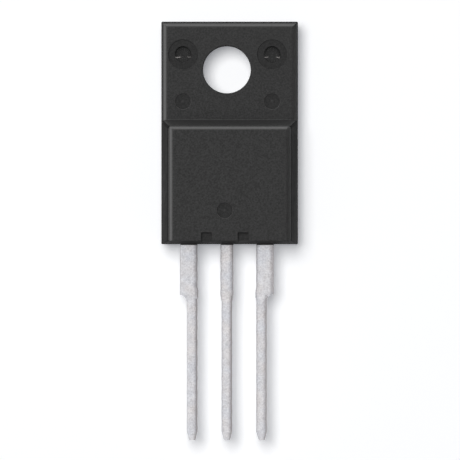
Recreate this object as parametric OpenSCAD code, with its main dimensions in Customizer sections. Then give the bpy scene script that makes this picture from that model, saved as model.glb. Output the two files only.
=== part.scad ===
// Fully moulded three-lead power transistor, lying on its back.
// Origin: screw-hole axis on the mounting face. +Z out of the marked front, +Y towards the tab,
// leads along -Y. All sizes in millimetres.

/* [Moulding] */
// Width of the moulded body at its parting line
body_w = 10.0; // [9.6:0.1:10.6]
// Height of the body, from the edge with the leads to the edge by the screw hole
body_h = 16.3; // [15.9:0.1:17.2]
// Thickness of the lower block over the die
block_t = 4.5; // [4.3:0.1:5.0]
// Thickness of the thin tab round the screw hole
tab_t = 2.7; // [2.6:0.05:3.0]
// Length of the tab, from the top edge to the foot of the step
tab_h = 7.2; // [6.9:0.1:7.5]
// Distance from the top edge to the screw-hole axis
hole_to_top = 3.5; // [3.2:0.1:3.8]
// Sideways offset of the outline from the line of the screw hole and middle lead
body_shift = 0.2; // [-0.2:0.05:0.3]
// Draft of the top, side and step walls in front of the parting line, in degrees
front_draft = 14; // [8:1:18]
// Draft of all walls behind the parting line, in degrees
back_draft = 4; // [2:1:6]
// Draft of the wall that the leads come out of, in degrees
end_draft = 6; // [3:1:9]
// Radius of the front edges
edge_r = 0.5; // [0.3:0.05:0.5]
// Radius of the front edge above the leads
end_edge_r = 0.12; // [0.05:0.01:0.3]
// Radius where the step meets the side walls
corner_r = 0.3; // [0.15:0.05:0.4]

/* [Screw hole] */
// Diameter of the screw hole
hole_d = 3.5; // [3.0:0.1:3.6]

/* [Mould marks] */
// Half the distance between the marks beside the screw hole
mark_x = 3.26; // [3.1:0.02:3.4]
// Sideways offset of the tab's marks from the screw hole
tab_mark_shift = 0.05; // [-0.05:0.05:0.1]
// Height of the locating-pin holes above the screw-hole axis
pin_y = 1.1; // [0.9:0.05:1.3]
// Diameter of the locating-pin holes
pin_d = 1.2; // [1.0:0.05:1.3]
// How far the pin holes reach behind the spreader's front face
pin_past = 0.3; // [0.1:0.05:0.5]
// Diameter of the shallow recess round each pin hole
recess_d = 2.15; // [1.8:0.05:2.2]
// Depth of that recess
recess_depth = 0.1; // [0.08:0.01:0.25]
// Diameter of the ejector marks
ejector_d = 1.15; // [0.9:0.05:1.3]
// Depth of the ejector marks
ejector_depth = 0.1; // [0.05:0.01:0.15]
// Distance of the tab's ejector marks below the screw-hole axis
ejector_drop = 2.35; // [2.1:0.05:2.5]
// Height of the block's ejector mark above the edge with the leads
low_mark_h = 2.47; // [2.2:0.05:3.0]
// Sideways offset of the block's mark and of the notches from the screw hole
low_mark_shift = -0.155; // [-0.2:0.005:0.1]
// Width of the two notches over the leads' edge
notch_w = 0.8; // [0.6:0.05:0.9]
// Height of the notches
notch_h = 0.87; // [0.7:0.01:1.0]
// Depth of the notches
notch_depth = 0.35; // [0.2:0.05:0.5]
// Distance between the middles of the notches
notch_pitch = 2.68; // [2.5:0.02:2.8]

/* [Leads] */
// Distance between the leads' centre lines
pitch = 2.54; // [2.5:0.01:2.6]
// Thickness of the lead stock
lead_t = 0.5; // [0.45:0.01:0.6]
// Height of the leads' back face over the mounting face, which is the mould's parting plane
lead_z = 2.3; // [2.2:0.02:2.3]
// Width of the leads past their shoulders
lead_w = 0.77; // [0.7:0.01:0.85]
// Length of the leads outside the body
lead_len = 14.35; // [12.5:0.05:16.0]
// Width of the outer leads next to the body
outer_w = 1.27; // [1.15:0.01:1.35]
// Width of the middle lead next to the body
middle_w = 0.94; // [0.9:0.01:1.1]
// Length of the wide part outside the body
wide_len = 3.69; // [3.2:0.01:4.2]
// Radius inside the outer leads' shoulders
shoulder_r = 0.33; // [0.2:0.01:0.36]
// Length over which the middle lead narrows
taper_len = 0.55; // [0.4:0.05:0.8]
// Width of the stubs where the tie bar was cut away
stub_out = 0.06; // [0.03:0.01:0.1]
// Height of those stubs
stub_h = 0.95; // [0.7:0.05:1.1]
// Length of the chisel point
tip_len = 0.64; // [0.4:0.02:0.8]
// Width of the point
tip_w = 0.45; // [0.35:0.01:0.55]
// Thickness of the point
tip_t = 0.3; // [0.25:0.01:0.4]

/* [Inner ends of the leads] */
// Length of the outer leads inside the moulding, up to the far edge of their bonding plates
post_reach = 2.1; // [1.9:0.05:2.2]
// Height of the bonding plates
post_h = 1.15; // [1.0:0.05:1.25]
// Width of the bonding plates
post_w = 2.7; // [2.4:0.05:2.8]
// Gap between each bonding plate and the middle lead
post_gap = 0.65; // [0.55:0.05:0.7]

/* [Heat spreader] */
// Thickness of the moulding behind the spreader
skin_t = 0.5; // [0.4:0.05:0.6]
// Thickness of the spreader
pad_t = 1.3; // [1.2:0.05:1.4]
// Thickness of the moulding at its parting line beside the nearer side of the spreader
side_skin = 0.5; // [0.45:0.05:0.7]
// Distance from the edge with the leads to the spreader
pad_gap = 2.6; // [2.5:0.05:2.8]
// Radius of the fork round the screw hole
fork_r = 2.55; // [2.45:0.01:2.6]
// How far the fork's two arms reach above the screw-hole axis
arm_reach = 0.94; // [0.9:0.01:1.1]
// Length of the cranked part of the middle lead
crank_len = 1.6; // [1.4:0.05:1.7]
// How far the crank is sunk into the spreader at their common root
crank_root = 0.3; // [0.2:0.05:0.5]

/* [Die] */
// Width of the silicon die
die_w = 3.4; // [3.0:0.1:4.0]
// Height of the die
die_h = 3.0; // [2.6:0.1:3.4]
// Thickness of the die
die_t = 0.25; // [0.2:0.01:0.3]
// Thickness of the solder under the die
solder_t = 0.06; // [0.04:0.01:0.1]
// How far the solder shows round the die
solder_rim = 0.15; // [0.1:0.01:0.25]
// Distance from the spreader's lower edge to the die's centre
die_y = 3.0; // [2.7:0.05:3.4]

/* [Bond wires] */
// Diameter of the control wire
thin_wire_d = 0.15; // [0.12:0.01:0.2]
// Diameter of the two main wires
thick_wire_d = 0.3; // [0.25:0.01:0.35]
// Distance between the two main wires on the die
wire_spacing = 0.9; // [0.8:0.05:1.1]
// Rise of the wires' arches over their chords
wire_rise = 0.6; // [0.5:0.05:0.7]
// Inset of the wires' feet from the edges that they are bonded near
foot_inset = 0.55; // [0.5:0.01:0.57]

/* [Hidden] */

arc_steps = 6;
corner_steps = 4;
bore_fn = 96;
wire_fn = 24;
past = 1;

top_y = hole_to_top;
low_y = hole_to_top - body_h;
foot_y = hole_to_top - tab_h;
parting_z = lead_z;
pad_front = skin_t + pad_t;
pad_low = low_y + pad_gap;
pad_w = body_w - 2 * abs(body_shift) - 2 * side_skin;
solder_top = pad_front + solder_t;
die_top = solder_top + die_t;
die_mid = pad_low + die_y;
lead_front = lead_z + lead_t;
tip_y = low_y - lead_len;
shoulder_y = low_y - wide_len;
post_top = low_y + post_reach;
post_in = middle_w / 2 + post_gap;
// The cut tie bar lay across the ends of the wide parts.
stub_y = shoulder_y - stub_h / 3;
// A foot is wider and flatter than its wire.
foot_long = 2.5;
foot_wide = 1.6;
foot_high = 0.7;
foot_lift = 0.51;

function unit(v) = v / norm(v);
function turn(a) = a > 180 ? a - 360 : a < -180 ? a + 360 : a;
// The points of the arc that rounds corner b of the path a, b, c, limited by the shorter wall.
function rounded(a, b, c, r) =
    let (u = unit(a - b), v = unit(c - b),
         half = acos(u * v) / 2,
         d = min(r / tan(half), 0.98 * norm(a - b), 0.98 * norm(c - b)),
         rr = d * tan(half),
         o = b + unit(u + v) * rr / sin(half),
         p = b + u * d - o, q = b + v * d - o,
         start = atan2(p[1], p[0]),
         sweep = turn(atan2(q[1], q[0]) - start))
    [for (i = [0 : arc_steps])
        o + rr * [cos(start + sweep * i / arc_steps), sin(start + sweep * i / arc_steps)]];

// Side view of the moulding as [y, z]: drafted ends, tab, step and block.
function side_view() =
    let (back_in = parting_z * tan(back_draft),
         tab_in = (tab_t - parting_z) * tan(front_draft),
         step_in = (block_t - tab_t) * tan(front_draft),
         end_in = (block_t - parting_z) * tan(end_draft),
         top_wall = [top_y, parting_z],
         top_corner = [top_y - tab_in, tab_t],
         foot = [foot_y, tab_t],
         step_corner = [foot_y - step_in, block_t],
         end_corner = [low_y + end_in, block_t],
         end_wall = [low_y, parting_z])
    concat([[low_y + back_in, 0], [top_y - back_in, 0], top_wall],
           rounded(top_wall, top_corner, foot, edge_r),
           [foot],
           rounded(foot, step_corner, end_corner, edge_r),
           rounded(step_corner, end_corner, end_wall, end_edge_r),
           [end_wall]);

// Cross-section of the moulding as [x, z] for a front face at height t.
function cross_section(t) =
    let (h = body_w / 2,
         back_in = parting_z * tan(back_draft),
         front_in = (t - parting_z) * tan(front_draft),
         right_wall = [body_shift + h, parting_z],
         right_corner = [body_shift + h - front_in, t],
         left_corner = [body_shift - h + front_in, t],
         left_wall = [body_shift - h, parting_z])
    concat([[body_shift - h + back_in, 0], [body_shift + h - back_in, 0], right_wall],
           rounded(right_wall, right_corner, left_corner, edge_r),
           rounded(right_corner, left_corner, left_wall, edge_r),
           [left_wall]);

module extrude_along_x(x0, x1) {
    translate([x0, 0, 0]) rotate([90, 0, 90]) linear_extrude(height = x1 - x0) children();
}

module extrude_along_y(y0, y1) {
    translate([0, y1, 0]) rotate([90, 0, 0]) linear_extrude(height = y1 - y0) children();
}

// Rounds the edge between the step and one side wall with drafted planes that touch a cylinder.
module step_corner_cuts(side) {
    big = body_w;
    for (az = [90 / corner_steps : 90 / corner_steps : 89]) {
        draft = atan(tan(front_draft) * (cos(az) + sin(az)));
        cut = corner_r * (cos(az) + sin(az) - 1);
        reach = (body_w / 2 - (tab_t - parting_z) * tan(front_draft)) * cos(az) + foot_y * sin(az) - cut;
        intersection() {
            translate([body_shift, 0, tab_t])
                rotate([0, 0, side > 0 ? az : 180 - az]) translate([reach, 0, 0]) rotate([0, -draft, 0])
                translate([0, -big, -big]) cube([big, 2 * big, 2 * big]);
            translate([body_shift - big, foot_y - big / 2, tab_t]) cube([2 * big, big, big]);
        }
    }
}

module outer_form() {
    intersection() {
        extrude_along_x(body_shift - body_w / 2 - past, body_shift + body_w / 2 + past)
            polygon(side_view());
        union() {
            extrude_along_y(foot_y, top_y + past) polygon(cross_section(tab_t));
            difference() {
                extrude_along_y(low_y - past, foot_y) polygon(cross_section(block_t));
                for (side = [-1, 1]) step_corner_cuts(side);
            }
        }
    }
}

module mark(x, y, front, d, depth) {
    translate([x, y, front - depth]) cylinder(d = d, h = depth + past, $fn = bore_fn);
}

module mould_marks() {
    for (side = [-1, 1]) {
        x = tab_mark_shift + side * mark_x;
        mark(x, pin_y, tab_t, recess_d, recess_depth);
        mark(x, pin_y, tab_t, pin_d, tab_t - pad_front + pin_past);
        mark(x, -ejector_drop, tab_t, ejector_d, ejector_depth);
        translate([low_mark_shift + side * notch_pitch / 2 - notch_w / 2, low_y - past, block_t - notch_depth])
            cube([notch_w, notch_h + past, notch_depth + past]);
    }
    mark(low_mark_shift, low_y + low_mark_h, block_t, ejector_d, ejector_depth);
}

module moulding() {
    color([0.20, 0.20, 0.20])
    difference() {
        outer_form();
        translate([0, 0, -past]) cylinder(d = hole_d, h = tab_t + 2 * past, $fn = bore_fn);
        mould_marks();
        pin_2_spreader();
        pin_1_lead();
        pin_3_lead();
        die_solder();
        silicon_die();
        control_wire();
        main_wire_a();
        main_wire_b();
    }
}

// Front outline of an outer lead about its own centre line, with its wide side towards +X.
module outer_outline() {
    inner = -lead_w / 2;
    outer = inner + outer_w;
    bend = [lead_w / 2, shoulder_y];
    polygon(concat(
        [[-tip_w / 2, tip_y], [tip_w / 2, tip_y], [lead_w / 2, tip_y + tip_len]],
        rounded([lead_w / 2, shoulder_y - past], bend, [outer, shoulder_y], shoulder_r),
        [[outer, shoulder_y], [outer, post_top], [inner, post_top], [inner, tip_y + tip_len]]));
    translate([inner - stub_out, stub_y]) square([lead_w / 2 + stub_out, stub_h]);
    translate([post_in - pitch, post_top - post_h]) square([post_w, post_h]);
}

module middle_outline() {
    polygon([[-tip_w / 2, tip_y], [tip_w / 2, tip_y], [lead_w / 2, tip_y + tip_len],
             [lead_w / 2, shoulder_y - taper_len], [middle_w / 2, shoulder_y],
             [middle_w / 2, pad_low + crank_root], [-middle_w / 2, pad_low + crank_root],
             [-middle_w / 2, shoulder_y], [-lead_w / 2, shoulder_y - taper_len],
             [-lead_w / 2, tip_y + tip_len]]);
    translate([-middle_w / 2 - stub_out, stub_y + stub_h / 3])
        square([middle_w + 2 * stub_out, stub_h * 2 / 3]);
}

// Side view of the lead stock as [y, z], with the point thinned from both faces.
function stock_view(end_y) =
    let (thin = (lead_t - tip_t) / 2)
    [[tip_y, lead_z + thin], [tip_y + tip_len, lead_z], [end_y, lead_z],
     [end_y, lead_front], [tip_y + tip_len, lead_front], [tip_y, lead_front - thin]];

module outer_lead(side) {
    reach = pitch + outer_w + post_w;
    intersection() {
        translate([side * pitch, 0, lead_z - past]) mirror([side < 0 ? 1 : 0, 0, 0])
            linear_extrude(height = lead_t + 2 * past) outer_outline();
        extrude_along_x(-reach, reach) polygon(stock_view(post_top + past));
    }
}

module pin_1_lead() {
    color([0.80, 0.80, 0.82]) outer_lead(-1);
}

module pin_3_lead() {
    color([0.80, 0.80, 0.82]) outer_lead(1);
}

// One stamping: the middle lead, its crank and the forked heat spreader.
module pin_2_spreader() {
    crank_low = pad_low - crank_len;
    thin = (lead_t - tip_t) / 2;
    color([0.80, 0.52, 0.34]) {
        intersection() {
            translate([0, 0, skin_t]) linear_extrude(height = lead_front) middle_outline();
            extrude_along_x(-middle_w, middle_w)
                polygon([[tip_y, lead_z + thin], [tip_y + tip_len, lead_z], [crank_low, lead_z],
                         [pad_low, pad_front - lead_t], [pad_low + crank_root, pad_front - lead_t],
                         [pad_low + crank_root, pad_front], [pad_low, pad_front],
                         [crank_low, lead_front], [tip_y + tip_len, lead_front],
                         [tip_y, lead_front - thin]]);
        }
        translate([0, 0, skin_t]) linear_extrude(height = pad_t) difference() {
            translate([-pad_w / 2, pad_low]) square([pad_w, arm_reach - pad_low]);
            circle(r = fork_r, $fn = bore_fn);
            translate([-fork_r, 0]) square([2 * fork_r, arm_reach + past]);
        }
    }
}

module die_solder() {
    color([0.62, 0.63, 0.65])
    translate([-die_w / 2 - solder_rim, die_mid - die_h / 2 - solder_rim, pad_front])
        cube([die_w + 2 * solder_rim, die_h + 2 * solder_rim, solder_t]);
}

module silicon_die() {
    color([0.36, 0.38, 0.42])
    translate([-die_w / 2, die_mid - die_h / 2, solder_top]) cube([die_w, die_h, die_t]);
}

// A round wire arched from a to b, both on the surfaces it is bonded to, with a flattened foot at each end.
module bond_wire(a, b, d) {
    run = norm([b[0] - a[0], b[1] - a[1]]);
    chord = norm(b - a);
    tilt = atan2(b[2] - a[2], run);
    az = atan2(b[1] - a[1], b[0] - a[0]);
    r = (chord * chord / 4 + wire_rise * wire_rise) / (2 * wire_rise);
    half = asin(chord / 2 / r);
    translate(a + [0, 0, foot_lift * d]) rotate([0, 0, az]) rotate([0, -tilt, 0])
        translate([chord / 2, 0, wire_rise - r]) rotate([90, 0, 0]) rotate([0, 0, 90 - half])
        rotate_extrude(angle = 2 * half, $fn = 4 * wire_fn)
        translate([r, 0]) circle(d = d, $fn = wire_fn);
    for (p = [a, b])
        translate(p) rotate([0, 0, az])
            translate([-foot_long * d / 2, -foot_wide * d / 2, 0])
            cube([foot_long * d, foot_wide * d, foot_high * d]);
}

die_bond_y = die_mid - die_h / 2 + foot_inset;
post_bond_y = post_top - foot_inset;
post_mid = post_in + post_w / 2;

module control_wire() {
    color([0.86, 0.86, 0.88])
    bond_wire([-die_w / 2 + foot_inset, die_bond_y, die_top],
              [-post_mid + foot_inset, post_bond_y, lead_front], thin_wire_d);
}

module main_wire_a() {
    color([0.86, 0.86, 0.88])
    bond_wire([die_w / 2 - foot_inset - wire_spacing, die_bond_y, die_top],
              [post_mid - wire_spacing / 2, post_bond_y, lead_front], thick_wire_d);
}

module main_wire_b() {
    color([0.86, 0.86, 0.88])
    bond_wire([die_w / 2 - foot_inset, die_bond_y, die_top],
              [post_mid + wire_spacing / 2, post_bond_y, lead_front], thick_wire_d);
}

moulding();
pin_1_lead();
pin_2_spreader();
pin_3_lead();
die_solder();
silicon_die();
control_wire();
main_wire_a();
main_wire_b();
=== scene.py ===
"""Looks of a fully moulded three-lead power transistor, lying on its back on a white ground."""
import math

import bmesh
import bpy
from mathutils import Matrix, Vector


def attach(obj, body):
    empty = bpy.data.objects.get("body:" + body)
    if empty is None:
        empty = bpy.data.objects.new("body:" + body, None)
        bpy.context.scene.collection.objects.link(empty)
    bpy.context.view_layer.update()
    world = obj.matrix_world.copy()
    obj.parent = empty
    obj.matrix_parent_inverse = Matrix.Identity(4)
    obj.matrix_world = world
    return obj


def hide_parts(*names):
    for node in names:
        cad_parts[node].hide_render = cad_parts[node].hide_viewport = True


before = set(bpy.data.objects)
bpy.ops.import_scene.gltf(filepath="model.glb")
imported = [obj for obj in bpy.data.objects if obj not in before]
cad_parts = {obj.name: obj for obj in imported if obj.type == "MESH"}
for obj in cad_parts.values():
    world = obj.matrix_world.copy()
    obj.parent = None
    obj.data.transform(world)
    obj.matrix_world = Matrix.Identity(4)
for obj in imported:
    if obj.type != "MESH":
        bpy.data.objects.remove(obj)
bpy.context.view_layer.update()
MM = 0.001

# Sizes of the moulding, in millimetres, as in the CAD model.
BODY_W, BODY_H, BLOCK_T, TAB_T, TAB_H = 10.0, 16.3, 4.5, 2.7, 7.2
TOP_Y, SHIFT, PARTING_Z = 3.5, 0.2, 2.3
LOW_Y, FOOT_Y = TOP_Y - BODY_H, TOP_Y - TAB_H
FRONT_DRAFT, BACK_DRAFT, END_DRAFT = (math.tan(math.radians(a)) for a in (14, 4, 6))
EDGE_SETBACK, CORNER_R = 0.39, 0.3
HOLE_R = 1.75
MARK_X, TAB_MARK_SHIFT, PIN_Y, EJECTOR_DROP = 3.26, 0.05, 1.1, 2.35
PIN_R, PIN_FLOOR, RECESS_R, RECESS_DEPTH = 0.6, 1.5, 1.075, 0.1
EJECTOR_R, EJECTOR_DEPTH = 0.575, 0.1
LOW_MARK = (-0.155, LOW_Y + 2.47)
NOTCH_W, NOTCH_H, NOTCH_DEPTH, NOTCH_PITCH = 0.8, 0.87, 0.35, 2.68

# Fine forms of the moulding, in millimetres: small rounds along its edges and in its marks, the nib in each
# ejector mark, and the film and flash of compound.
SIDE_ROUND, BACK_ROUND, END_ROUND, FOOT_ROUND = 0.09, 0.06, 0.10, 0.03
HOLE_RIM, MARK_RIM, MARK_FLOOR_R, NOTCH_ROUND = 0.04, 0.02, 0.05, 0.05
NIB_R, FILM_T = 0.12, 0.02
FLASH_OUT, FLASH_IN, FLASH_RISE, FLASH_SINK, FLASH_ROUND = 0.055, 0.15, 0.09, 0.005, 0.02
FLASH_LEFT_SHIFT, FLASH_RIGHT_SHIFT = 0.02, 0.01
# How far in the middle of a small round lies, as a share of its radius.
ROUND_MIDDLE = 0.3
# How far cutters stand out of the body, how far a pin hole's lower cutter reaches up into the upper one, and
# the share of the hole's radius that the lower one keeps to, so that their sides don't coincide.
CLEAR, PIN_END_LAP, PIN_END_FIT = 0.5, 0.1, 0.997

# Sizes of the leads and the spreader, in millimetres, as in the CAD model.
PITCH, LEAD_T, LEAD_Z, LEAD_W, LEAD_LEN = 2.54, 0.5, 2.3, 0.77, 14.35
OUTER_W, MIDDLE_W, WIDE_LEN, TAPER_LEN = 1.27, 0.94, 3.69, 0.55
STUB_OUT, STUB_H, TIP_LEN, TIP_W, TIP_T = 0.06, 0.95, 0.64, 0.45, 0.3
POST_REACH, POST_H, POST_W, POST_GAP = 2.1, 1.15, 2.7, 0.65
SKIN_T, PAD_T, PAD_W, PAD_GAP, FORK_R, ARM_REACH = 0.5, 1.3, 8.6, 2.6, 2.55, 0.94
CRANK_LEN, CRANK_ROOT = 1.6, 0.3
TIP_Y, SHOULDER_Y = LOW_Y - LEAD_LEN, LOW_Y - WIDE_LEN
PAD_LOW, PAD_FRONT, POST_TOP = LOW_Y + PAD_GAP, SKIN_T + PAD_T, LOW_Y + POST_REACH
POST_IN = MIDDLE_W / 2 + POST_GAP

# Forms of the leads that only this model has, in millimetres. The left shoulder is cut with a wider curve
# than the right one. A stub swells from above over one length and ends below over another.
LEFT_SHOULDER_R, RIGHT_SHOULDER_R = 0.65, 0.42
STUB_SWELL, STUB_END = 0.35, 0.08
STUB_LOW, STUB_HIGH = SHOULDER_Y - 0.33 * STUB_H, SHOULDER_Y + 0.67 * STUB_H
# Width and height of the rolled front edges, and the most of a lead's width that one may take.
ROLL_W, ROLL_H, ROLL_SHARE = 0.45, 0.3, 0.45
BACK_EDGE_R, TIP_BEVEL_W, TIP_BEVEL_H = 0.05, 0.05, 0.03
# Waves of the sheared edges, as (height, frequency, share of the seed), and the seed's shift from one side
# of a lead to the other.
WAVES, WAVE_SHIFT = ((0.006, 5.1, 1.0), (0.004, 13.7, 2.3)), 1.9
# Widest and narrowest gap between stations along a lead, and places for more beside its changes of width.
STATION_GAP, STATION_MIN = 0.25, 0.004
ABOVE_SHOULDER, POST_STEP, TAPER_NEAR = (0.01, 0.03), 0.02, 0.04


# Materials
class Nodes:
    """The node tree of a material or world, with short calls to add and join nodes."""

    def __init__(self, owner, output="ShaderNodeOutputMaterial"):
        owner.use_nodes = True
        self.owner, self.tree = owner, owner.node_tree
        self.tree.nodes.clear()
        self.out = self.add(output)

    def add(self, kind, sockets=None, **props):
        node = self.tree.nodes.new(kind)
        for key, value in props.items():
            setattr(node, key, value)
        for key, value in (sockets or {}).items():
            if isinstance(value, bpy.types.NodeSocket):
                self.tree.links.new(value, node.inputs[key])
            else:
                node.inputs[key].default_value = value
        return node

    def place(self):
        return self.add("ShaderNodeTexCoord").outputs["Object"]

    def noise(self, scale, detail=3.0, roughness=0.55, distortion=0.0):
        sockets = {"Vector": self.place(), "Scale": scale, "Detail": detail, "Roughness": roughness,
                   "Distortion": distortion}
        return self.add("ShaderNodeTexNoise", sockets).outputs["Fac"]

    def ramp(self, value, low, high, start=0.0, end=1.0):
        """value's range from low to high, stretched to run from start to end."""
        sockets = {"Value": value, "From Min": low, "From Max": high, "To Min": start, "To Max": end}
        return self.add("ShaderNodeMapRange", sockets).outputs["Result"]

    def maths(self, operation, a, b):
        return self.add("ShaderNodeMath", {0: a, 1: b}, operation=operation).outputs[0]

    def blend(self, a, b, share_a):
        """Two noises added in shares that make one."""
        return self.maths("ADD", self.maths("MULTIPLY", a, share_a), self.maths("MULTIPLY", b, 1 - share_a))

    def mix(self, factor, a, b):
        """A colour between a and b. The node's colours are its sockets 6 and 7, and its result socket 2."""
        return self.add("ShaderNodeMix", {0: factor, 6: a, 7: b}, data_type="RGBA").outputs[2]

    def choose(self, factor, off, on):
        """The shader off where factor is 0 and the shader on where it is 1."""
        return self.add("ShaderNodeMixShader", {0: factor, 1: off.outputs[0], 2: on.outputs[0]})

    def bump(self, height, strength, distance, normal=None):
        sockets = {"Height": height, "Strength": strength, "Distance": distance}
        if normal:
            sockets["Normal"] = normal
        return self.add("ShaderNodeBump", sockets).outputs["Normal"]

    def finish(self, node):
        """Join a shader to the output and return the finished material or world."""
        self.tree.links.new(node.outputs[0], self.out.inputs["Surface"])
        return self.owner

    def shader(self, **sockets):
        named = {key.replace("_", " "): value for key, value in sockets.items()}
        return self.finish(self.add("ShaderNodeBsdfPrincipled", named))


def new_nodes(name):
    return Nodes(bpy.data.materials.new(name))


def grey(value, blue=0.0):
    return (value, value, value + blue, 1.0)


def epoxy(name, dark, pale, roughness, level, relief, ior=1.55):
    """Black moulding compound. dark and pale bound its grain; level is the shader's specular level."""
    n = new_nodes(name)
    fine = n.noise(scale=9000.0, detail=2.0, roughness=0.6)
    coarse = n.noise(scale=1400.0)
    grain = n.blend(fine, coarse, share_a=0.93)
    colour = n.mix(n.ramp(grain, 0.36, 0.64), grey(dark), grey(pale))
    rough = n.ramp(coarse, 0.3, 0.7, start=roughness - 0.04, end=roughness + 0.04)
    swell = n.bump(coarse, strength=relief / 3, distance=0.00004)
    normal = n.bump(fine, strength=relief, distance=0.00002, normal=swell)
    return n.shader(Base_Color=colour, Roughness=rough, Normal=normal, IOR=ior, Specular_IOR_Level=level)


def tin():
    """Matt tin plating with a mottled grain, in patches that lean to blue or to red."""
    n = new_nodes("tinned_copper")
    mottle = n.noise(scale=3400.0, detail=4.0, roughness=0.6, distortion=0.6)
    fine = n.noise(scale=9000.0, detail=2.0)
    grain = n.blend(mottle, fine, share_a=0.5)
    tint = n.ramp(n.noise(scale=700.0, detail=2.0), 0.35, 0.65)
    dark = n.mix(tint, (0.55, 0.555, 0.59, 1), (0.575, 0.555, 0.56, 1))
    pale = n.mix(tint, (0.785, 0.795, 0.83, 1), (0.815, 0.795, 0.80, 1))
    colour = n.mix(n.ramp(grain, 0.37, 0.63), dark, pale)
    rough = n.ramp(mottle, 0.3, 0.7, start=0.36, end=0.46)
    swell = n.bump(mottle, strength=0.25, distance=0.00003)
    normal = n.bump(fine, strength=0.2, distance=0.00001, normal=swell)
    return n.shader(Base_Color=colour, Roughness=rough, Normal=normal, Metallic=1.0)


def metal(name, colour, roughness, scale):
    """Plain metal with a fine grain, which runs from a little darker than colour up to it."""
    n = new_nodes(name)
    grain = n.noise(scale)
    dark = tuple(0.88 * c for c in colour) + (1,)
    tone = n.mix(n.ramp(grain, 0.3, 0.7), dark, tuple(colour) + (1,))
    rough = n.ramp(grain, 0.3, 0.7, start=roughness - 0.05, end=roughness + 0.05)
    normal = n.bump(grain, strength=0.15, distance=0.00001)
    return n.shader(Base_Color=tone, Roughness=rough, Normal=normal, Metallic=1.0)


def silicon():
    """Polished die with a pattern of cells."""
    n = new_nodes("silicon")
    cells = n.add("ShaderNodeTexBrick", {"Vector": n.place(), "Scale": 4000.0, "Mortar Size": 0.05,
                                         "Color1": grey(0.16, 0.03), "Color2": grey(0.19, 0.03),
                                         "Mortar": grey(0.35, 0.02)})
    rough = n.ramp(n.noise(scale=3000.0), 0.3, 0.7, start=0.18, end=0.28)
    return n.shader(Base_Color=cells.outputs["Color"], Roughness=rough, Metallic=0.0, IOR=3.4)


# The moulding's finishes, in the order of its material slots.
FACE, WALL_PAINTED_SHADE, MARK, PIN, STEP_PAINTED_LIGHT, EDGE, EDGE_SIDE = range(7)
EPOXY = [
    epoxy("moulding_face", dark=0.010, pale=0.030, roughness=0.55, level=0.40, relief=0.2),
    # The walls' colour is darker than the face's: painted shade against the light they take from the white
    # ground.
    epoxy("moulding_wall_painted_shade", dark=0.0065, pale=0.0155, roughness=0.65, level=0.036, relief=0.2),
    epoxy("moulding_mark", dark=0.027, pale=0.041, roughness=0.70, level=0.08, relief=0.12),
    epoxy("moulding_pin_hole", dark=0.005, pale=0.013, roughness=0.25, level=0.27, relief=0.12),
    # The step's finish is much paler than the walls': painted light on the shaded step slope, and a painted
    # highlight on the nibs.
    epoxy("moulding_step_painted_light", dark=0.042, pale=0.058, roughness=0.65, level=0.08, relief=0.2),
    epoxy("moulding_edge", dark=0.005, pale=0.022, roughness=0.34, level=0.97, relief=0.2, ior=1.66),
    epoxy("moulding_edge_side", dark=0.008, pale=0.026, roughness=0.45, level=0.66, relief=0.2),
]
# The leads' and the spreader's finishes, in the order of their material slots.
STOCK, SHEARED_AND_SHADE, PLATE = range(3)
# The sheared metal's darker colour is the cut sides' own, and painted shade where it covers the right rolled
# edges.
COPPER = [tin(), metal("sheared_edge_and_painted_shade", (0.45, 0.43, 0.43), roughness=0.50, scale=5000.0),
          metal("spreader_metal", (0.45, 0.43, 0.42), roughness=0.50, scale=6000.0)]
SOLDER = metal("die_solder_metal", (0.55, 0.55, 0.58), roughness=0.42, scale=4000.0)
WIRE = metal("bond_wire_metal", (0.84, 0.84, 0.86), roughness=0.28, scale=12000.0)
INNER = {"die_solder": SOLDER, "silicon_die": silicon(), "control_wire": WIRE, "main_wire_a": WIRE,
         "main_wire_b": WIRE}


# Mesh helpers
def new_object(name, mesh):
    ob = bpy.data.objects.new(name, mesh)
    bpy.context.collection.objects.link(ob)
    return ob


def mesh_object(name, verts, faces):
    """An object from points in millimetres, with its faces turned outwards."""
    mesh = bpy.data.meshes.new(name)
    mesh.from_pydata([tuple(c * MM for c in v) for v in verts], [], faces)
    bm = bmesh.new()
    bm.from_mesh(mesh)
    bmesh.ops.recalc_face_normals(bm, faces=bm.faces)
    bm.to_mesh(mesh)
    bm.free()
    return new_object(name, mesh)


def lathe(name, profile, centre, segments):
    """A closed solid turned about the vertical through centre. profile holds (radius, height) points, and
    starts and ends on the axis."""
    verts, faces, rings = [], [], []
    for r, z in profile:
        if r == 0:
            rings.append([len(verts)])
            verts.append((centre[0], centre[1], z))
        else:
            rings.append(list(range(len(verts), len(verts) + segments)))
            verts += [(centre[0] + r * math.cos(2 * math.pi * i / segments),
                       centre[1] + r * math.sin(2 * math.pi * i / segments), z) for i in range(segments)]
    for a, b in zip(rings, rings[1:]):
        for i in range(segments):
            j = (i + 1) % segments
            quad = [a[i % len(a)], a[j % len(a)], b[j % len(b)], b[i % len(b)]]
            faces.append(tuple(dict.fromkeys(quad)))
    return mesh_object(name, verts, faces)


def prism(name, outline, z0, z1):
    """A closed upright solid over an outline of (x, y) points."""
    count = len(outline)
    verts = [(x, y, z) for z in (z0, z1) for x, y in outline]
    faces = [tuple(range(count)), tuple(range(count, 2 * count))]
    faces += [(i, (i + 1) % count, count + (i + 1) % count, count + i) for i in range(count)]
    return mesh_object(name, verts, faces)


def rounded_box(name, x0, x1, y0, y1, z0, z1, r):
    ob = mesh_object(name, [(x, y, z) for x in (x0, x1) for y in (y0, y1) for z in (z0, z1)],
                     [(0, 1, 3, 2), (4, 6, 7, 5), (0, 4, 5, 1), (2, 3, 7, 6), (0, 2, 6, 4), (1, 5, 7, 3)])
    mod = ob.modifiers.new("round", "BEVEL")
    mod.width, mod.segments = r * MM, 3
    apply_modifiers(ob)
    return ob


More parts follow.
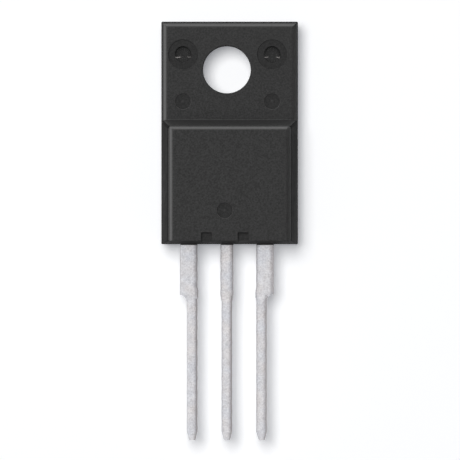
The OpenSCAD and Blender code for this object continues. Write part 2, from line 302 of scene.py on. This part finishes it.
def apply_modifiers(ob):
    graph = bpy.context.evaluated_depsgraph_get()
    mesh = bpy.data.meshes.new_from_object(ob.evaluated_get(graph))
    old = ob.data
    ob.modifiers.clear()
    ob.data = mesh
    mesh.name = ob.name
    bpy.data.meshes.remove(old)


def combine(ob, others, operation):
    """Cut the other solids out of ob, or join them to it. They are used up."""
    for other in others:
        mod = ob.modifiers.new("combine", "BOOLEAN")
        mod.operation, mod.solver, mod.object = operation, "EXACT", other
    apply_modifiers(ob)
    for other in others:
        bpy.data.objects.remove(other)


def finish_shading(ob, sharp_angle):
    """Smooth curves with flat faces kept flat: sharp edges by angle, normals weighted by face area."""
    mesh = ob.data
    bm = bmesh.new()
    bm.from_mesh(mesh)
    bmesh.ops.remove_doubles(bm, verts=bm.verts, dist=0.4e-6)
    bmesh.ops.dissolve_degenerate(bm, edges=bm.edges, dist=0.2e-6)
    for f in bm.faces:
        f.smooth = True
    for e in bm.edges:
        e.smooth = not (len(e.link_faces) == 2 and e.calc_face_angle(0.0) > math.radians(sharp_angle))
    bm.to_mesh(mesh)
    bm.free()
    mod = ob.modifiers.new("weighted", "WEIGHTED_NORMAL")
    mod.keep_sharp, mod.weight = True, 50
    apply_modifiers(ob)


def dress(ob, materials, finish_index, node):
    """Give a piece its materials, one to each face, and let it stand for its CAD node."""
    for material in materials:
        ob.data.materials.append(material)
    for face in ob.data.polygons:
        face.material_index = finish_index(face)
    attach(ob, "root")
    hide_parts(node)
    return ob


# Moulding
def moulding_blank():
    """The drafted body with its step, as a closed mesh whose edges are then rounded."""
    half = BODY_W / 2
    back, tab = PARTING_Z * BACK_DRAFT, (TAB_T - PARTING_Z) * FRONT_DRAFT
    block, step = (BLOCK_T - PARTING_Z) * FRONT_DRAFT, (BLOCK_T - TAB_T) * FRONT_DRAFT
    end = (BLOCK_T - PARTING_Z) * END_DRAFT
    # One row per corner of the body's side view, as (inset from the side, y, z).
    rows = {
        "back_low": (back, LOW_Y + back, 0), "back_top": (back, TOP_Y - back, 0),
        "part_low": (0, LOW_Y, PARTING_Z), "part_top": (0, TOP_Y, PARTING_Z),
        "tab_top": (tab, TOP_Y - tab, TAB_T), "foot": (tab, FOOT_Y, TAB_T),
        "step": (block, FOOT_Y - step, BLOCK_T), "end": (block, LOW_Y + end, BLOCK_T),
    }
    bm = bmesh.new()
    v = {}
    for key, (inset, y, z) in rows.items():
        for side in (-1, 1):
            v[key, side] = bm.verts.new(((SHIFT + side * (half - inset)) * MM, y * MM, z * MM))
    chain = ["back_low", "back_top", "part_top", "tab_top", "foot", "step", "end", "part_low"]
    for a, b in zip(chain, chain[1:] + chain[:1]):
        bm.faces.new((v[a, -1], v[a, 1], v[b, 1], v[b, -1]))
    for side in (-1, 1):
        bm.faces.new([v[k, side] for k in ("part_top", "tab_top", "foot", "step", "end", "part_low")])
        bm.faces.new([v[k, side] for k in ("back_low", "back_top", "part_top", "part_low")])
    bmesh.ops.recalc_face_normals(bm, faces=bm.faces)

    # How far each edge is rounded back: the edges along both sides, then those from side to side.
    along = {
        ("tab_top", "foot"): EDGE_SETBACK, ("step", "end"): EDGE_SETBACK, ("foot", "step"): CORNER_R,
        ("part_top", "tab_top"): SIDE_ROUND, ("part_low", "end"): SIDE_ROUND,
        ("back_top", "part_top"): SIDE_ROUND, ("back_low", "part_low"): SIDE_ROUND,
        ("back_low", "back_top"): BACK_ROUND,
    }
    across = {"tab_top": EDGE_SETBACK, "step": EDGE_SETBACK, "end": END_ROUND, "foot": FOOT_ROUND,
              "back_low": BACK_ROUND, "back_top": BACK_ROUND}
    rounds = [((v[a, side], v[b, side]), size) for (a, b), size in along.items() for side in (-1, 1)]
    rounds += [((v[k, -1], v[k, 1]), size) for k, size in across.items()]
    weight = bm.edges.layers.float.new("bevel_weight_edge")
    for ends, size in rounds:
        bm.edges.get(ends)[weight] = size / EDGE_SETBACK
    mesh = bpy.data.meshes.new("moulding_body")
    bm.to_mesh(mesh)
    bm.free()
    ob = new_object("moulding_body", mesh)
    mod = ob.modifiers.new("round", "BEVEL")
    mod.limit_method, mod.offset_type, mod.width = "WEIGHT", "OFFSET", EDGE_SETBACK * MM
    mod.segments, mod.profile, mod.miter_outer = 8, 0.5, "MITER_SHARP"
    apply_modifiers(ob)
    return ob


def screw_hole_cutter():
    wide, middle = HOLE_R + HOLE_RIM, ROUND_MIDDLE * HOLE_RIM
    return lathe("screw_hole", [
        (0, -CLEAR), (wide, -CLEAR), (wide, 0), (HOLE_R + middle, middle), (HOLE_R, HOLE_RIM),
        (HOLE_R, TAB_T - HOLE_RIM), (HOLE_R + middle, TAB_T - middle), (wide, TAB_T),
        (wide, TAB_T + CLEAR), (0, TAB_T + CLEAR)], centre=(0, 0), segments=160)


def ejector_cutter(centre, front):
    """A cutter for a shallow round mark with a rounded rim and floor edge and a small nib in its middle."""
    floor, wide = front - EJECTOR_DEPTH, EJECTOR_R + MARK_RIM
    in_floor, in_rim = ROUND_MIDDLE * MARK_FLOOR_R, ROUND_MIDDLE * MARK_RIM
    return lathe("ejector", [
        (0, floor + 0.6 * NIB_R), (0.5 * NIB_R, floor + 0.45 * NIB_R), (NIB_R, floor),
        (EJECTOR_R - MARK_FLOOR_R, floor), (EJECTOR_R - in_floor, floor + in_floor),
        (EJECTOR_R, floor + MARK_FLOOR_R), (EJECTOR_R, front - MARK_RIM),
        (EJECTOR_R + in_rim, front - in_rim), (wide, front), (wide, front + CLEAR), (0, front + CLEAR)],
        centre, segments=64)


# Edge of the thin film of compound over the spreader's arm in each pin hole, in millimetres from the hole's
# centre. The arm ends at -0.16, so its metal shows only where this edge lies lower.
FILM_EDGE = {
    -1: [(-0.546, -0.25), (-0.44, -0.27), (-0.31, -0.23), (-0.15, -0.19), (-0.05, -0.12), (0.12, -0.10),
         (0.24, -0.14), (0.31, -0.19), (0.44, -0.20), (0.566, -0.20)],
    1: [(-0.562, -0.21), (-0.44, -0.22), (-0.30, -0.20), (-0.20, -0.14), (-0.05, -0.10), (0.12, -0.11),
        (0.25, -0.16), (0.34, -0.20), (0.44, -0.24), (0.53, -0.28)],
}


def pin_cutters(side):
    """Cutters for a shallow recess, its locating-pin hole and that hole's part beyond the spreader's arm."""
    x, floor = TAB_MARK_SHIFT + side * MARK_X, TAB_T - RECESS_DEPTH
    wide, film = RECESS_R + MARK_RIM, PAD_FRONT + FILM_T
    recess = lathe("pin_recess", [
        (0, film), (PIN_R, film), (PIN_R, floor - MARK_RIM), (PIN_R + MARK_RIM, floor),
        (RECESS_R - MARK_RIM, floor), (RECESS_R, floor + MARK_RIM), (RECESS_R, TAB_T - MARK_RIM),
        (wide, TAB_T), (wide, TAB_T + CLEAR), (0, TAB_T + CLEAR)], centre=(x, PIN_Y), segments=72)
    edge, steps, r = FILM_EDGE[side], 40, PIN_END_FIT * PIN_R
    start, stop = (math.atan2(py, px) for px, py in (edge[-1], edge[0]))
    stop += 2 * math.pi
    arc = [start + (stop - start) * i / steps for i in range(1, steps)]
    outline = [(x + px * PIN_END_FIT, PIN_Y + py * PIN_END_FIT) for px, py in edge]
    outline += [(x + r * math.cos(t), PIN_Y + r * math.sin(t)) for t in arc]
    return [recess, prism("pin_end", outline, PIN_FLOOR, PAD_FRONT + PIN_END_LAP)]


def notch_cutter(side):
    x = LOW_MARK[0] + side * NOTCH_PITCH / 2
    return rounded_box("notch", x - NOTCH_W / 2, x + NOTCH_W / 2, LOW_Y - 2 * CLEAR, LOW_Y + NOTCH_H,
                       BLOCK_T - NOTCH_DEPTH, BLOCK_T + 2 * CLEAR, NOTCH_ROUND)


def flash_lip(x0, x1):
    """Thin flash of compound over a lead where it leaves the body."""
    z = LEAD_Z + LEAD_T
    return rounded_box("flash", x0 + FLASH_LEFT_SHIFT, x1 + FLASH_RIGHT_SHIFT, LOW_Y - FLASH_OUT,
                       LOW_Y + FLASH_IN, z - FLASH_SINK, z + FLASH_RISE, FLASH_ROUND)


TAB_EJECTORS = {side: (TAB_MARK_SHIFT + side * MARK_X, -EJECTOR_DROP) for side in (-1, 1)}

# Which way the moulding's faces look, as the share of +Z, up, or +Y, along, in their normals. Flat faces
# look further up or down than the first value, and walls of a pin hole less than the second.
FLAT_UP, PIN_WALL_UP = 0.57, 0.90
# The rolled front edges and their middle. The edge at the leads' end looks more towards -Y and isn't one.
ROLLED_UP, MIDDLE_UP, ROLLED_ALONG = (0.70, 0.985), (0.80, 0.94), -0.1
# The step's slope, painted lighter than the other walls, with how far from its foot it reaches, in
# millimetres.
SLOPE_ALONG, SLOPE_REACH = 0.7, 1.0
# How far beside a mark's outline and a hole's rim their faces may lie, and how far under a front face a mark
# begins, in millimetres.
BESIDE, BESIDE_RIM, UNDER = 0.01, 0.06, 0.005


def moulding_finish(face):
    """Finish of one face of the moulding, told by its place and direction. The nibs share the step's pale
    colour, a painted highlight.
    """
    x, y, z = (c / MM for c in face.center)
    along, up = face.normal.y, face.normal.z
    dx = x - TAB_MARK_SHIFT - (1 if x > 0 else -1) * MARK_X
    from_pin = math.hypot(dx, y - PIN_Y)
    from_ejector = min(math.hypot(x - cx, y - cy) for cx, cy in (*TAB_EJECTORS.values(), LOW_MARK))
    if from_pin < PIN_R + BESIDE_RIM and PIN_FLOOR - BESIDE < z < TAB_T - RECESS_DEPTH - UNDER:
        return MARK if abs(up) < PIN_WALL_UP else PIN
    if z > PARTING_Z and from_ejector < NIB_R:
        # A nib takes the step's pale colour as a painted highlight.
        return STEP_PAINTED_LIGHT
    on_tab_mark = from_pin < RECESS_R + BESIDE or math.hypot(dx, y + EJECTOR_DROP) < EJECTOR_R + BESIDE
    if on_tab_mark and PARTING_Z < z < TAB_T - UNDER:
        return MARK
    on_low_mark = math.hypot(x - LOW_MARK[0], y - LOW_MARK[1]) < EJECTOR_R + BESIDE
    in_notch_width = abs(abs(x - LOW_MARK[0]) - NOTCH_PITCH / 2) < NOTCH_W / 2 + BESIDE
    in_notch = in_notch_width and y < LOW_Y + NOTCH_H + BESIDE
    if (on_low_mark or in_notch) and BLOCK_T - NOTCH_DEPTH - BESIDE < z < BLOCK_T - UNDER:
        return MARK
    # The rolled front edges left and right, along the top and above the step are smoothest in their middle.
    rolled = ROLLED_UP[0] < up < ROLLED_UP[1] and along > ROLLED_ALONG
    if rolled and math.hypot(x, y) > HOLE_R + BESIDE_RIM:
        return EDGE if MIDDLE_UP[0] < up < MIDDLE_UP[1] else EDGE_SIDE
    if abs(up) >= FLAT_UP:
        return FACE
    # The walls take the darkened colour, painted shade, and the step's slope the paler one, painted light.
    return STEP_PAINTED_LIGHT if abs(y - FOOT_Y) < SLOPE_REACH and along > SLOPE_ALONG else WALL_PAINTED_SHADE


def make_moulding():
    ob = moulding_blank()
    cutters = [screw_hole_cutter()]
    for side in (-1, 1):
        cutters += pin_cutters(side)
        cutters += [ejector_cutter(TAB_EJECTORS[side], TAB_T), notch_cutter(side)]
    cutters.append(ejector_cutter(LOW_MARK, BLOCK_T))
    combine(ob, cutters, "DIFFERENCE")
    wide = PITCH - LEAD_W / 2
    combine(ob, [flash_lip(x0, x1) for x0, x1 in (
        (-wide - OUTER_W, -wide), (-MIDDLE_W / 2, MIDDLE_W / 2), (wide, wide + OUTER_W))], "UNION")
    finish_shading(ob, sharp_angle=32)
    return dress(ob, EPOXY, moulding_finish, node="moulding")


# Leads
def smooth_step(t):
    t = min(max(t, 0.0), 1.0)
    return t * t * (3 - 2 * t)


def wave(y, seed):
    """A small steady waviness of a sheared edge, in millimetres."""
    return sum(height * math.sin(frequency * y + share * seed) for height, frequency, share in WAVES)


def stub(y):
    """How far an outer lead's stub of the cut tie bar stands out at y."""
    return STUB_OUT * smooth_step(min((STUB_HIGH - y) / STUB_SWELL, (y - STUB_LOW) / STUB_END))


def point_half(y):
    """Half the width of a lead's point at y."""
    return TIP_W / 2 + (LEAD_W - TIP_W) / 2 * ((y - TIP_Y) / TIP_LEN)


def outer_limits(y, shoulder_r):
    """Inner and outer edge of an outer lead at y, about its own centre line, wide side towards +X."""
    if y < TIP_Y + TIP_LEN:
        return -point_half(y), point_half(y)
    if y > POST_TOP - POST_H:
        return POST_IN - PITCH, POST_IN - PITCH + POST_W
    inner, outer = -LEAD_W / 2, LEAD_W / 2
    drop = SHOULDER_Y - y
    if drop <= 0:
        outer = inner + OUTER_W
    elif drop < shoulder_r:
        outer = LEAD_W / 2 + shoulder_r - math.sqrt(shoulder_r ** 2 - (shoulder_r - drop) ** 2)
        outer = min(outer, inner + OUTER_W)
    return inner - stub(y), outer


def middle_limits(y):
    """Left and right edge of the middle lead at y."""
    if y < TIP_Y + TIP_LEN:
        return -point_half(y), point_half(y)
    t = (y - SHOULDER_Y + TAPER_LEN) / TAPER_LEN
    half = LEAD_W / 2 + (MIDDLE_W - LEAD_W) / 2 * min(max(t, 0.0), 1.0)
    return -half, half


def stations(end):
    """Stations along a lead from its point to end: close together where its outline changes."""
    marks = [TIP_Y, TIP_Y + TIP_BEVEL_H, TIP_Y + TIP_LEN, LOW_Y, end]
    marks += [SHOULDER_Y - r * (1 - math.cos(i * math.pi / 16)) for r in (LEFT_SHOULDER_R, RIGHT_SHOULDER_R)
              for i in range(9)]
    marks += [SHOULDER_Y + up for up in ABOVE_SHOULDER]
    marks += [POST_TOP - POST_H, POST_TOP - POST_H + POST_STEP]
    marks += [STUB_LOW + STUB_END * i / 4 for i in range(5)]
    marks += [STUB_HIGH - STUB_SWELL * i / 6 for i in range(7)]
    marks += [SHOULDER_Y - TAPER_LEN + near for near in (0, -TAPER_NEAR, TAPER_NEAR)]
    count = int((end - TIP_Y) / STATION_GAP)
    marks += [TIP_Y + TIP_LEN + (end - TIP_Y - TIP_LEN) * i / count for i in range(count)]
    kept = []
    for y in sorted(m for m in marks if TIP_Y <= m <= end):
        if not kept or y - kept[-1] > STATION_MIN:
            kept.append(y)
    return kept


def section(x0, x1, z0, z1, roll):
    """A lead's cross-section from the front's left round to the back's left. roll is the (width, height) of
    the rolled front edges."""
    points, steps, back = [], 8, (BACK_EDGE_R, BACK_EDGE_R)
    corners = [(x0, z1, 1, -1, roll, 180, 90), (x1, z1, -1, -1, roll, 90, 0),
               (x1, z0, -1, 1, back, 0, -90), (x0, z0, 1, 1, back, -90, -180)]
    for x, z, sx, sz, (rx, rz), a0, a1 in corners:
        for i in range(steps + 1):
            a = math.radians(a0 + (a1 - a0) * i / steps)
            points.append((x + sx * rx + rx * math.cos(a), z + sz * rz + rz * math.sin(a)))
    return points


def lead_mesh(name, centre, mirror, limits, end, seed, lift=lambda y: 0.0):
    """A lead as a closed mesh through its cross-sections, from its point to end. limits gives its two sides
    at y, and lift how far it is raised there."""
    verts, faces = [], []
    ys = stations(end)
    for y in ys:
        x0, x1 = limits(y)
        if y < LOW_Y:
            x0, x1 = x0 + wave(y, seed), x1 + wave(y, seed + WAVE_SHIFT)
        thin = (LEAD_T - TIP_T) / 2 * max(0.0, 1 - (y - TIP_Y) / TIP_LEN)
        z0, z1 = LEAD_Z + thin + lift(y), LEAD_Z + LEAD_T - thin + lift(y)
        bevel = TIP_BEVEL_W if y < TIP_Y + TIP_BEVEL_H else 0.0
        roll = (min(ROLL_W, ROLL_SHARE * (x1 - x0 - 2 * bevel)), ROLL_H - thin)
        ring = section(x0 + bevel, x1 - bevel, z0 + bevel, z1 - bevel, roll)
        verts += [(centre + (-x if mirror else x), y, z) for x, z in ring]
    size = len(ring)
    for i in range(len(ys) - 1):
        for j in range(size):
            k = (j + 1) % size
            faces.append((i * size + j, i * size + k, (i + 1) * size + k, (i + 1) * size + j))
    faces.append(tuple(range(size)))
    faces.append(tuple((len(ys) - 1) * size + j for j in range(size)))
    return mesh_object(name, verts, faces)


# How far right or left a lead's cut sides look, as the share of +X in their normal. On the right they take
# in part of the rolled edge, as the dark bands in the photo do: there the darker finish is painted shade.
CUT_AND_SHADE_RIGHT, CUT_LEFT = 0.66, -0.90


def lead_finish(face):
    """Finish of one face of a lead or the spreader. Cut sides are rougher and darker than rolled stock; on
    the right the darker finish also covers part of the rolled edge as painted shade.
    """
    if face.center.y > PAD_LOW * MM:
        return PLATE
    cut_and_shaded_face = face.center.y < LOW_Y * MM and not CUT_LEFT <= face.normal.x <= CUT_AND_SHADE_RIGHT
    return SHEARED_AND_SHADE if cut_and_shaded_face else STOCK


def make_outer_lead(name, node, side, seed, shoulder_r):
    ob = lead_mesh(name, centre=side * PITCH, mirror=side < 0, limits=lambda y: outer_limits(y, shoulder_r),
                   end=POST_TOP, seed=seed)
    finish_shading(ob, sharp_angle=40)
    return dress(ob, COPPER[:PLATE], lead_finish, node=node)


def crank_drop(y):
    """How far the middle lead is lowered inside the moulding, down to the spreader's front face."""
    t = (y - (PAD_LOW - CRANK_LEN)) / CRANK_LEN
    return -(LEAD_Z + LEAD_T - PAD_FRONT) * min(max(t, 0.0), 1.0)


def make_spreader():
    """The spreader, forked round the screw hole, and the middle lead, as one stamping."""
    lead = lead_mesh("middle_lead", centre=0.0, mirror=False, limits=middle_limits, end=PAD_LOW + CRANK_ROOT,
                     seed=0.7, lift=crank_drop)
    steps = 40
    turns = [math.pi * i / steps for i in range(steps + 1)]
    outline = [(-PAD_W / 2, PAD_LOW), (PAD_W / 2, PAD_LOW), (PAD_W / 2, ARM_REACH), (FORK_R, ARM_REACH)]
    outline += [(FORK_R * math.cos(t), -FORK_R * math.sin(t)) for t in turns]
    outline += [(-FORK_R, ARM_REACH), (-PAD_W / 2, ARM_REACH)]
    ob = prism("spreader_and_middle_lead", outline, SKIN_T, PAD_FRONT)
    combine(ob, [lead], "UNION")
    finish_shading(ob, sharp_angle=40)
    return dress(ob, COPPER, lead_finish, node="pin_2_spreader")


MOULDING = make_moulding()
LEADS = [make_outer_lead("left_lead", "pin_1_lead", side=-1, seed=0.3, shoulder_r=LEFT_SHOULDER_R),
         make_outer_lead("right_lead", "pin_3_lead", side=1, seed=1.4, shoulder_r=RIGHT_SHOULDER_R),
         make_spreader()]
# The inner pieces keep their CAD shapes.
for node, material in INNER.items():
    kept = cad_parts[node]
    kept.data.materials.clear()
    kept.data.materials.append(material)


# Camera
VIEW_CENTRE = (0.227 * MM, -11.757 * MM)
PIXELS_PER_MM, FRAME_PX, SENSOR_W = 13.66, 460, 36.0
CAMERA_HEIGHT, FOCUS_Z = 0.5, 2.5 * MM
camera = bpy.data.cameras.new("camera")
camera.sensor_width = SENSOR_W
camera.lens = SENSOR_W * (CAMERA_HEIGHT - FOCUS_Z) / (FRAME_PX / PIXELS_PER_MM * MM)
camera.clip_start, camera.clip_end = 0.01, 10.0
view = new_object("camera", camera)
view.location = (*VIEW_CENTRE, CAMERA_HEIGHT)
bpy.context.scene.camera = view

# Ground and light
TARGET = Vector((*VIEW_CENTRE, 0.0))
GROUND_HALF, GROUND_Z, PAPER = 0.6, -0.00001, 0.9
GLOW_TINT, GLOW = (0.96, 0.99, 1.05, 1.0), 0.24
# How high up a card its tone stops rising, in metres.
TONE_RISE = 0.75


def background_rays(n):
    """1 on the rays that show the background: the camera's, those in gloss and those in clear things."""
    path = n.add("ShaderNodeLightPath")
    carried = n.maths("MAXIMUM", path.outputs["Is Glossy Ray"], path.outputs["Is Transmission Ray"])
    return n.maths("MAXIMUM", path.outputs["Is Camera Ray"], carried)


def ground_material():
    """White paper, which glows a little on the rays that show the background."""
    n = new_nodes("white_ground")
    paper = n.add("ShaderNodeBsdfDiffuse", {"Color": grey(PAPER)})
    glow = n.add("ShaderNodeEmission", {"Color": GLOW_TINT, "Strength": GLOW})
    lit = n.add("ShaderNodeAddShader", {0: paper.outputs[0], 1: glow.outputs[0]})
    return n.finish(n.choose(background_rays(n), off=paper, on=lit))


def stage_sheet(name, corners, material):
    """A flat sheet of the studio, which isn't part of the object."""
    mesh = bpy.data.meshes.new(name)
    mesh.from_pydata(corners, [], [(0, 1, 2, 3)])
    mesh.materials.append(material)
    sheet = new_object(name, mesh)
    return sheet


def towards(zenith, azimuth):
    """Unit vector to a place in the sky. Azimuth is counted from +X towards +Y."""
    z, a = math.radians(zenith), math.radians(azimuth)
    return Vector((math.sin(z) * math.cos(a), math.sin(z) * math.sin(a), math.cos(z)))


def lamp(name, shape, zenith, azimuth, distance, size, radiance):
    """An area lamp aimed at the part. radiance is the brightness of its face, with 1 as white."""
    data = bpy.data.lights.new(name, "AREA")
    data.shape, data.size, data.size_y = shape, size, size
    area = size ** 2 * (math.pi / 4 if shape == "DISK" else 1.0)
    data.energy = radiance * math.pi * area
    ob = new_object(name, data)
    ob.location = TARGET + distance * towards(zenith, azimuth)
    ob.rotation_mode = "QUATERNION"
    ob.rotation_quaternion = (ob.location - TARGET).to_track_quat("Z", "Y")
    return ob


def card(name, azimuth, distance, width, height, low, high):
    """A standing grey studio card that only reflections see. Its tone rises from low at its foot to high."""
    n = new_nodes(name)
    up = n.add("ShaderNodeSeparateXYZ", {"Vector": n.place()}).outputs["Z"]
    tone = n.mix(n.ramp(up, 0.0, min(height, TONE_RISE)), (low, 0.975 * low, 0.99 * low, 1.0), grey(high))
    material = n.finish(n.add("ShaderNodeEmission", {"Color": tone, "Strength": 1.0}))
    out = towards(90, azimuth)
    side, foot = Vector((-out.y, out.x, 0.0)), TARGET + distance * out
    sheet = stage_sheet(name, [foot + side * width * u + Vector((0, 0, height * v)) for u, v in
                               ((-0.5, 0), (0.5, 0), (0.5, 1), (-0.5, 1))], material)
    sheet.visible_camera = sheet.visible_diffuse = sheet.visible_shadow = False
    return sheet


stage_sheet("ground", [(x * GROUND_HALF, y * GROUND_HALF, GROUND_Z) for x, y in
                       ((-1, -1), (1, -1), (1, 1), (-1, 1))], ground_material())
# The key is a large lamp just up and left of overhead, which no reflection shows.
key = lamp("key", "DISK", zenith=13.5, azimuth=130, distance=0.6, size=0.31, radiance=12.8)
key.visible_glossy = False
# The right card glows for the leads alone. To the moulding it is a black flag that keeps its right edges
# dark, but for a faint fill that only gloss shows.
right_card = card("right_card", azimuth=0, distance=0.35, width=1.2, height=2.0, low=0.47, high=1.0)
right_fill = lamp("right_fill", "RECTANGLE", zenith=50, azimuth=0, distance=0.3, size=0.6, radiance=0.17)
right_fill.visible_diffuse = False
for light, receivers in ((right_card, LEADS), (right_fill, [MOULDING])):
    group = bpy.data.collections.new(light.name + "_receivers")
    for ob in receivers:
        group.objects.link(ob)
    light.light_linking.receiver_collection = group
# The low card stands past the leads' points, where it dims the white sky in reflections.
card("low_card", azimuth=-90, distance=0.35, width=0.8, height=0.4, low=0.55, high=0.55)

# The world is a dim fill, and white on the rays that show the background.
world = bpy.data.worlds.new("studio")
bpy.context.scene.world = world
sky = Nodes(world, "ShaderNodeOutputWorld")
fill = sky.add("ShaderNodeBackground", {"Color": grey(0.08, 0.002)})
white = sky.add("ShaderNodeBackground", {"Color": grey(1.0)})
sky.finish(sky.choose(background_rays(sky), off=fill, on=white))

bpy.context.scene.view_settings.view_transform = "Standard"
